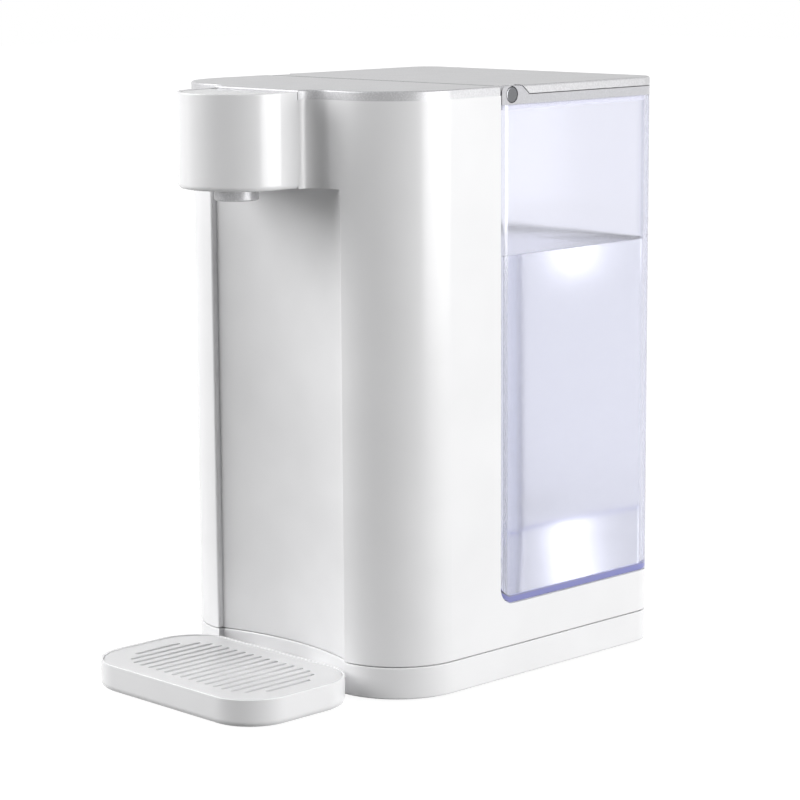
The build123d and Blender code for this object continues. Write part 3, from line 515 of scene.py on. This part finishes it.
# chrome coloured darker than plating is: painted reflection of darker surroundings
chromeDarkenedAsReflection = brightMetal("chrome darkened as painted reflection", "#77787B", 0.14, 0.3)
plainSteel = brightMetal("zinc plated steel", "#B4B4B6", 0.30, 0.4)
drawnSteel = brightMetal("drawn stainless tube", "#B9BABC", 0.25, 0.25)
motorCan = brightMetal("plated motor can", "#A6A7A9", 0.35, 0.5)


# rubbers

bloomLook = {
    "sizeMm": 3,
    "from": 0.4, "to": 0.75,
    "height": 0.05 * mm, "strength": 0.2,
}


def softRubber(name, colour, paler, roughness):
    # moulded elastomer: matt, with a dusty bloom
    material, tree = emptyMaterial(name)
    place = addNode(tree, "ShaderNodeTexCoord", {}, {})
    bloom = addNode(tree, "ShaderNodeTexNoise",
                    {"Scale": perMetre(bloomLook["sizeMm"]), "Detail": 4.0},
                    {"Vector": place.outputs["Object"]})
    tone = addNode(tree, "ShaderNodeValToRGB", {}, {"Fac": bloom.outputs["Fac"]})
    plainEnd, dustyEnd = tone.color_ramp.elements
    plainEnd.position, plainEnd.color = bloomLook["from"], linear(colour)
    dustyEnd.position, dustyEnd.color = bloomLook["to"], linear(paler)
    bump = addNode(tree, "ShaderNodeBump",
                   {"Strength": bloomLook["strength"], "Distance": bloomLook["height"]},
                   {"Height": bloom.outputs["Fac"]})
    skin = addNode(tree, "ShaderNodeBsdfPrincipled", {"Roughness": roughness},
                   {"Base Color": tone.outputs[0], "Normal": bump.outputs[0]})
    addNode(tree, "ShaderNodeOutputMaterial", {}, {"Surface": skin.outputs[0]})
    return material


blackRubber = softRubber("black rubber", "#161616", "#242424", 0.75)
silicone = softRubber("translucent silicone", "#D6D6D0", "#DEDED8", 0.45)


# who wears what

dress(whiteAbs, "base_pan", "body_shell", "head_base", "tank_bay", "drip_tray")
# liner and grille wear a darker copy of the white plastic: painted shade
dress(satinAbsPaintedShade, "alcove_liner", "drip_grille")
dress(silverPaint, "top_plate", "tank_lid", "nozzle_ring")
dress(collarGrey, "tank_collar")
dress(panelAcrylic, "touch_panel")
dress(tankClear, "tank_shell")
dress(chromeDarkenedAsReflection, "hinge_pins", "valve_spring")
dress(plainSteel, "base_screws", "heater_clamps", "thermostats")
dress(drawnSteel, "heater_tube")
dress(motorCan, "pump_motor")
dress(innerPlastic, "valve_body", "valve_plunger", "valve_socket", "outlet_chamber", "heater_caps")
dress(pumpPlastic, "pump_cradle", "pump_head", "board_parts")
dress(boardGreen, "control_board", "power_board")
dress(blackRubber, "rubber_feet", "cord_gland")
dress(silicone, "socket_seal", "valve_washer", "lid_seal", "spout_tip",
      "inlet_hose", "feed_hose", "outlet_hose")
print("finishes given to", len(nodes), "nodes")


# water in the tank

water = {
    "gap": 0.1 * mm,           # between water and plastic
    "level": 203 * mm,
    "rearRound": 9.3 * mm, "rearSegments": 10,
    "footRound": 5.8 * mm, "footSegments": 8,
    "meniscus": 1.2 * mm,      # how far from the wall the surface curls up, and by how much
    "meniscusDrop": 0.5 * mm,
    "valveRoom": 15.4 * mm,    # round the valve on the floor
    "valveHigh": 45.5 * mm,
    "valveSides": 64,
}


def fillTank():
    low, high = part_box("tank_shell")
    inset = tankWalls["side"] + water["gap"]
    lowest = Vector((low.x + inset, low.y + inset, low.z + tankWalls["floor"] + water["gap"]))
    highest = Vector((high.x - inset, high.y - inset, water["level"]))
    halfway = (lowest.y + highest.y) / 2
    body = startBlock("tankWater", lowest, highest)
    roundEdges(body, lambda m, d: abs(d.z) > alongAxis and m.y > halfway,
               water["rearRound"], water["rearSegments"])
    roundEdges(body, lambda m, d: (abs(d.x) > alongAxis and m.y < lowest.y + closeTo
                                   and m.z < lowest.z + closeTo),
               water["footRound"], water["footSegments"])

    # the surface sinks a little inside its rim
    mesh = bmesh.from_edit_mesh(body.data)
    for face in mesh.faces:
        onTop = face.calc_center_median().z > highest.z - closeTo
        face.select_set(face.normal.z > alongAxis and onTop)
    bmesh.update_edit_mesh(body.data)
    bpy.ops.mesh.select_mode(type="FACE")
    bpy.ops.mesh.inset(thickness=water["meniscus"])
    bpy.ops.transform.translate(value=(0, 0, -water["meniscusDrop"]))
    bpy.ops.object.mode_set(mode="OBJECT")

    # room for the valve
    lowValve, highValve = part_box("valve_body")
    middle = (lowValve + highValve) / 2
    startFresh()
    bpy.ops.mesh.primitive_cylinder_add(
        vertices=water["valveSides"], radius=water["valveRoom"], depth=water["valveHigh"],
        location=(middle.x, middle.y, water["valveHigh"] / 2))
    plug = bpy.context.object
    cut = body.modifiers.new("valveRoom", "BOOLEAN")
    cut.operation = "DIFFERENCE"
    cut.object = plug
    pick(body)
    bpy.ops.object.modifier_apply(modifier="valveRoom")
    bpy.data.objects.remove(plug)
    bpy.ops.object.shade_smooth_by_angle(angle=smoothUpTo)
    settle(body, "tank", waterLook)


fillTank()
print("tank filled")


# black rubber strip in the seam between the top plate and the lid: painted shadow for the seam's
# dark line

seamShadowStrip = {
    "ends": 4.5 * mm,          # in from the body's sides
    "thick": 0.6 * mm,         # clear of the lid's edge as it swings past
    "high": 3.4 * mm,
    "round": 0.2 * mm,         # along its top
    "roundSegments": 4,
}


def layShadowStrip():
    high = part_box("top_plate")[1]
    half = high.x - seamShadowStrip["ends"]
    lowest = Vector((-half, high.y, high.z - seamShadowStrip["high"]))
    highest = Vector((half, high.y + seamShadowStrip["thick"], high.z))
    shadowStrip = startBlock("seamShadowStrip", lowest, highest)
    roundEdges(shadowStrip, lambda m, d: abs(d.x) > alongAxis and m.z > highest.z - closeTo,
               seamShadowStrip["round"], seamShadowStrip["roundSegments"])
    bpy.ops.object.mode_set(mode="OBJECT")
    bpy.ops.object.shade_smooth_by_angle(angle=smoothUpTo)
    # black rubber here is painted shadow in the seam
    settle(shadowStrip, "housing", blackRubber)


layShadowStrip()
print("seam shadow strip laid")
